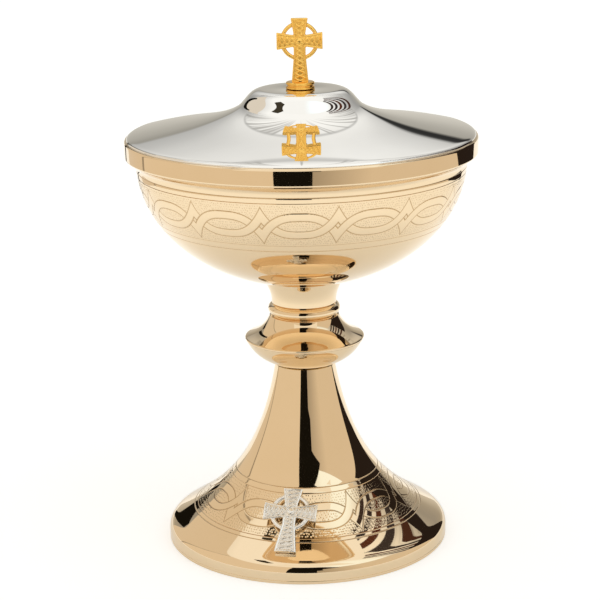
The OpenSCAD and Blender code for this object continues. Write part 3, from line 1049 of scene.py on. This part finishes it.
# Brightness of the tent in reflections, by elevation in degrees
TENT_WALLS = {
    "back wall, left": (
        (-5, 0.66), (0, 0.62), (6, 0.53), (12, 0.43), (15.2, 0.33), (16.0, 0.49), (20, 0.57), (23, 0.66),
        (26, 0.72), (29, 0.80), (33, 0.86), (34.2, 0.52), (35.4, 0.90), (45, 1.04)),
    "back wall, right": (
        (-5, 0.70), (0, 0.66), (6, 0.58), (12, 0.45), (15.4, 0.40), (16.6, 0.03), (18.9, 0.03), (20.2, 0.62),
        (22, 0.69), (25, 0.77), (28, 0.86), (33, 0.94), (34.2, 0.52), (35.4, 0.94), (45, 1.04)),
    "beside": ((0, 0.62), (9, 0.42), (20, 0.36), (30, 0.48), (40, 0.66), (48, 0.86), (58, 1.04)),
    "in front": ((0, 0.70), (38, 0.74), (52, 0.92), (60, 1.02)),
}
CREASES = ((33.5, 0.0), (35.5, 1.0), (50, 0.8), (64, 0.0))
LOW_TINT = (1, 0.95, 0.84)
HIGH_TINT = (1, 0.99, 0.96)
SKY_TINT = (1.12, 1.25, 1.32, 1)
CREASE_TINT = (0.20, 0.19, 0.17, 1)
BEAM_TINTS = ((0.05, 0.035, 0.03), (0.04, 0.03, 0.03), (0.10, 0.035, 0.02), (0.05, 0.04, 0.04),
              (0.07, 0.03, 0.02))
# Corners of the dark gap between the front panels, across and up in millimetres
FRONT_GAP = ((-165, 0), (58, 0), (60, 180), (108, 215), (111, 370), (290, 495), (220, 620), (135, 750),
             (-160, 760))


def glow(name, tint, fade=None):
    """A stage colour that shines. fade is two azimuths and the share of light at the first."""
    made = bpy.data.materials.new(name)
    made.use_nodes = True
    tree = made.node_tree
    tree.nodes.clear()
    strength = 1.0
    if fade:
        where = node(tree, "ShaderNodeTexCoord", (-900, 0))
        split = node(tree, "ShaderNodeSeparateXYZ", (-700, 0), {"Vector": where.outputs["Object"]}).outputs
        back = maths(tree, (-500, -150), "MULTIPLY", split["Y"], -1)
        turn = maths(tree, (-350, 0), "ARCTAN2", split["X"], back)
        strength = remap(tree, (-180, 0), turn, *fade)
    light = node(tree, "ShaderNodeEmission", (0, 0), {"Color": (*tint, 1), "Strength": strength})
    node(tree, "ShaderNodeOutputMaterial", (300, 0), {"Surface": light.outputs["Emission"]})
    return made


def only_in_reflections(piece, material):
    piece.data.materials.append(material)
    for ray in ("camera", "diffuse", "shadow", "transmission", "volume_scatter"):
        setattr(piece, "visible_" + ray, False)


def card(name, away, outline, material):
    """A flat stage card, away metres in front of the vessel, with its corners in millimetres."""
    piece = start_piece(name, bpy.ops.mesh.primitive_circle_add, vertices=len(outline), radius=1)
    move_corners(piece, np.array([(x * MM, -away, z * MM) for x, z in outline]))
    with Editing():
        bpy.ops.mesh.edge_face_add()
    only_in_reflections(piece, material)


def arc_card(name, radius, foot, head, heights, material, steps=32):
    """A card bent round the vessel, between two azimuths in degrees at its foot and at its head."""
    piece = start_piece(name, bpy.ops.mesh.primitive_grid_add, x_subdivisions=steps, y_subdivisions=8, size=1)
    across, up = (corners_of(piece) + 0.5)[:, :2].T
    first, last = (foot[side] + (head[side] - foot[side]) * up for side in (0, 1))
    around = np.radians(first + (last - first) * across)
    height = heights[0] + (heights[1] - heights[0]) * up
    move_corners(piece, np.column_stack([radius * np.sin(around), -radius * np.cos(around), height]))
    only_in_reflections(piece, material)


def by_elevation(tree, at, label, share, stops):
    """A colour that changes with the elevation. Each stop is in degrees, with its colour."""
    made = node(tree, "ShaderNodeValToRGB", at, {"Fac": share}, label=label)
    elements = made.color_ramp.elements
    while len(elements) < len(stops):
        elements.new(1.0)
    for element, (degrees, tint) in zip(elements, stops):
        element.position = (degrees + 90) / 180
        element.color = (*tint, 1)
    return made.outputs["Color"]


class CIBORIUM_OT_stage(bpy.types.Operator):
    """Pale floor, white tent, front panels and camera"""

    bl_idname = "ciborium.stage"
    bl_label = "Stage"

    def execute(self, context):
        scene = context.scene
        stage = scene.ciborium_stage
        scene.view_settings.view_transform = "Standard"
        self.add_floor(stage)
        self.add_cards(stage)
        self.add_tent(scene)
        self.add_camera(scene, stage)
        return {"FINISHED"}

    def add_floor(self, stage):
        floor = start_piece("floor", bpy.ops.mesh.primitive_plane_add, size=12)
        made = bpy.data.materials.new("pale floor")
        made.use_nodes = True
        tree = made.node_tree
        shader = tree.nodes["Principled BSDF"]
        feed(tree, shader, {
            "Roughness": 0.9, "Specular IOR Level": 0.1, "Base Color": (0.80, 0.80, 0.79, 1),
            "Emission Color": (1, 1, 0.99, 1), "Emission Strength": self.floor_glow(tree, stage)})

        # From underneath the floor is clear, so that the inside of the foot can be looked at
        side = node(tree, "ShaderNodeNewGeometry", (0, 400)).outputs["Backfacing"]
        clear = node(tree, "ShaderNodeBsdfTransparent", (0, 200)).outputs["BSDF"]
        choose = node(tree, "ShaderNodeMixShader", (350, 200), {0: side, 1: shader.outputs["BSDF"], 2: clear})
        feed(tree, tree.nodes["Material Output"], {"Surface": choose.outputs["Shader"]})
        floor.data.materials.append(made)

    def floor_glow(self, tree, stage):
        """Glow of the floor: even for the camera; in reflections less near the foot, a painted shadow, and
        more under it, a painted pool of light.
        """
        where = node(tree, "ShaderNodeTexCoord", (-900, -300)).outputs["Object"]
        reached = node(tree, "ShaderNodeVectorMath", (-700, -300), {0: where}, operation="LENGTH")
        away = reached.outputs["Value"]
        # Painted shadow: near the foot the floor glows less where the metal reflects it
        near = remap(tree, (-500, -300), away, 0.08, 0.30, 0.22, stage.table, smooth=True)
        by_camera = node(tree, "ShaderNodeLightPath", (-700, -600)).outputs["Is Camera Ray"]
        glow_with_painted_shadow = between(tree, (-250, -300), by_camera, near, stage.table)
        # Painted light: the floor glows more under the foot, to light the inside of the foot
        under = maths(tree, (-500, -700), "LESS_THAN", away, 0.058)
        return maths(tree, (-100, -400), "MULTIPLY_ADD", under, 0.15, glow_with_painted_shadow)

    def add_cards(self, stage):
        """The panels, gaps, poles and beams round the vessel that its metal shows."""
        def tinted(share):
            return [channel * stage.panel * share for channel in stage.panel_tint]

        black = glow("black card", (0.008, 0.007, 0.005))
        card("front_gap", 0.55, FRONT_GAP, black)
        card("bounce_card", 0.15, ((-105, 215), (140, 215), (140, 500), (-105, 500)),
             glow("bounce card", (1.0, 0.97, 0.91)))
        fade = (math.radians(8), math.radians(42), 0.58)
        for name, radius, foot, head, heights, material in (
                ("left_panel", 0.62, (-116, -10), (-97, -10), (0, 0.88), glow("left panel", tinted(1))),
                ("left_far_panel", 0.63, (-141, -118.5), (-141, -99), (0, 0.88),
                 glow("left far panel", tinted(0.93))),
                ("left_line", 0.64, (-119, -115), (-99.5, -96), (0, 0.88), glow("left line", tinted(0.45))),
                ("left_pole", 0.60, (-155.5, -152.5), (-147, -141), (0, 0.26), black),
                ("left_pole_high", 0.60, (-153, -148), (-138, -133), (0.26, 0.60), black),
                ("top_clamp", 0.30, (-93, -60), (-90, -62), (0.68, 0.90),
                 glow("top clamp", (0.05, 0.04, 0.025))),
                ("right_panel", 0.62, (2, 117), (2, 82), (0, 0.575), glow("right panel", tinted(0.93), fade)),
                ("right_dark", 0.63, (100, 141), (80, 138), (0, 0.43),
                 glow("right dark", (0.022, 0.016, 0.014)))):
            arc_card(name, radius, foot, head, heights, material)
        for index, tint in enumerate(BEAM_TINTS):
            start = 92 + 8.5 * index
            arc_card(f"beam_{index + 1}", 0.66, (start, start + 4.6), (start - 2, start + 3.2), (0.45, 1.5),
                     glow(f"beam {index + 1}", tint), steps=4)

    def add_tent(self, scene):
        """White tent: plain where the camera looks, and shaded as a real one is in reflections."""
        world = bpy.data.worlds.new("tent")
        scene.world = world
        world.use_nodes = True
        tree = world.node_tree
        tree.nodes.clear()
        where = node(tree, "ShaderNodeTexCoord", (-1300, 0)).outputs["Generated"]
        split = node(tree, "ShaderNodeSeparateXYZ", (-1100, 0), {"Vector": where}).outputs
        height = maths(tree, (-900, -200), "ARCSINE", split["Z"])
        share = remap(tree, (-700, -200), height, -math.pi / 2, math.pi / 2)
        turn = maths(tree, (-900, 200), "ARCTAN2", split["X"], split["Y"])
        away = maths(tree, (-700, 200), "ABSOLUTE", turn)

        walls = []
        for label, stops in TENT_WALLS.items():
            tints = [LOW_TINT if -5 < degrees < 15.5 else HIGH_TINT for degrees, value in stops]
            stops = [(degrees, [value * channel for channel in tint])
                     for (degrees, value), tint in zip(stops, tints)]
            walls.append(by_elevation(tree, (-450, 350 - 250 * len(walls)), label, share, stops))
        back_left, back_right, beside, in_front = walls
        to_right = remap(tree, (-450, 1150), split["X"], -0.05, 0.05)
        behind = remap(tree, (-450, 900), away, math.radians(30), math.radians(14), smooth=True)
        ahead = remap(tree, (-450, 650), away, math.radians(85), math.radians(105), smooth=True)
        back = blend(tree, (-250, 350), to_right, back_left, back_right)
        rear = blend(tree, (-100, 100), behind, beside, back)
        cloth = blend(tree, (50, 100), ahead, rear, in_front)

        # The tent is brighter and cooler over the right hand front
        right = remap(tree, (-100, -300), split["X"], 0.05, 0.35, smooth=True)
        high = remap(tree, (-100, -550), split["Z"], 0.60, 0.68, smooth=True)
        both = maths(tree, (150, -400), "MULTIPLY", right, high)
        bright = maths(tree, (350, -400), "MULTIPLY", both, ahead)
        shaded = blend(tree, (550, 0), bright, self.creased(tree, cloth, turn, share, away), SKY_TINT)
        reflected = node(tree, "ShaderNodeBackground", (900, -100), {"Color": shaded, "Strength": 1.0})
        plain = node(tree, "ShaderNodeBackground", (900, 200), {"Color": (1, 1, 1, 1), "Strength": 1.0})
        by_camera = node(tree, "ShaderNodeLightPath", (700, 400)).outputs["Is Camera Ray"]
        choose = node(tree, "ShaderNodeMixShader", (1100, 0), {
            0: by_camera, 1: reflected.outputs["Background"], 2: plain.outputs["Background"]})
        node(tree, "ShaderNodeOutputWorld", (1300, 0), {"Surface": choose.outputs["Shader"]})

    def creased(self, tree, colour_of_cloth, turn, share, away):
        """Creases of the cloth that run up the back of the tent to its top."""
        wander = node(tree, "ShaderNodeTexNoise", (-100, 700), noise_dimensions="1D")
        feed(tree, wander, {"W": turn, "Detail": 1.0, "Scale": 13.0})
        middle = maths(tree, (60, 700), "SUBTRACT", wander.outputs["Fac"], 0.5)
        near = maths(tree, (220, 700), "ABSOLUTE", middle)
        line = remap(tree, (380, 700), near, 0.008, 0.05, 0.55, 0.0, smooth=True)
        high = by_elevation(tree, (60, 950), "where the cloth is creased", share,
                            [(degrees, (value, value, value)) for degrees, value in CREASES])
        behind = remap(tree, (220, 1200), away, math.radians(60), math.radians(40), smooth=True)
        shown = maths(tree, (700, 800), "MULTIPLY", maths(tree, (540, 800), "MULTIPLY", line, high), behind)
        return blend(tree, (860, 700), shown, colour_of_cloth, CREASE_TINT)

    def add_camera(self, scene, stage):
        bpy.ops.object.camera_add(location=(0, -stage.camera_back, stage.camera_height))
        camera = bpy.context.object
        camera.rotation_mode = "QUATERNION"
        camera.rotation_quaternion = (Matrix.Rotation(stage.camera_tilt, 3, "X")
                                      @ Matrix.Rotation(stage.camera_roll, 3, "Z")).to_quaternion()
        camera.data.sensor_width = 36
        camera.data.lens = stage.focal_length
        camera.data.shift_x = stage.camera_shift
        camera.data.dof.use_dof = False
        scene.camera = camera


class CIBORIUM_PT_panel(bpy.types.Panel):
    """Steps that build the ciborium, in order"""

    bl_idname = "CIBORIUM_PT_panel"
    bl_label = "Ciborium"
    bl_space_type = "VIEW_3D"
    bl_region_type = "UI"
    bl_category = "Ciborium"

    def draw(self, context):
        for step in STEPS:
            self.layout.operator(step.bl_idname)
        for group in GROUPS:
            values = getattr(context.scene, group)
            box = self.layout.box()
            box.label(text=values.bl_rna.description)
            for key in values.bl_rna.properties.keys():
                if key not in ("rna_type", "name"):
                    box.prop(values, key)


STEPS = (CIBORIUM_OT_foot, CIBORIUM_OT_foot_cross, CIBORIUM_OT_stem, CIBORIUM_OT_bowl, CIBORIUM_OT_lid,
         CIBORIUM_OT_finial, CIBORIUM_OT_fastenings, CIBORIUM_OT_stage)
GROUPS = {"ciborium_shape": CiboriumShape, "ciborium_engraving": CiboriumEngraving,
          "ciborium_finish": CiboriumFinish, "ciborium_stage": CiboriumStage}
CLASSES = (*GROUPS.values(), *STEPS, CIBORIUM_PT_panel)


def register():
    for item in CLASSES:
        bpy.utils.register_class(item)
    for name, group in GROUPS.items():
        setattr(bpy.types.Scene, name, PointerProperty(type=group))


def unregister():
    for name in GROUPS:
        delattr(bpy.types.Scene, name)
    for item in reversed(CLASSES):
        bpy.utils.unregister_class(item)


def main():
    register()
    for step in STEPS:
        section, action = step.bl_idname.split(".")
        getattr(getattr(bpy.ops, section), action)()
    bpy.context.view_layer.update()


if __name__ == "__main__":
    main()
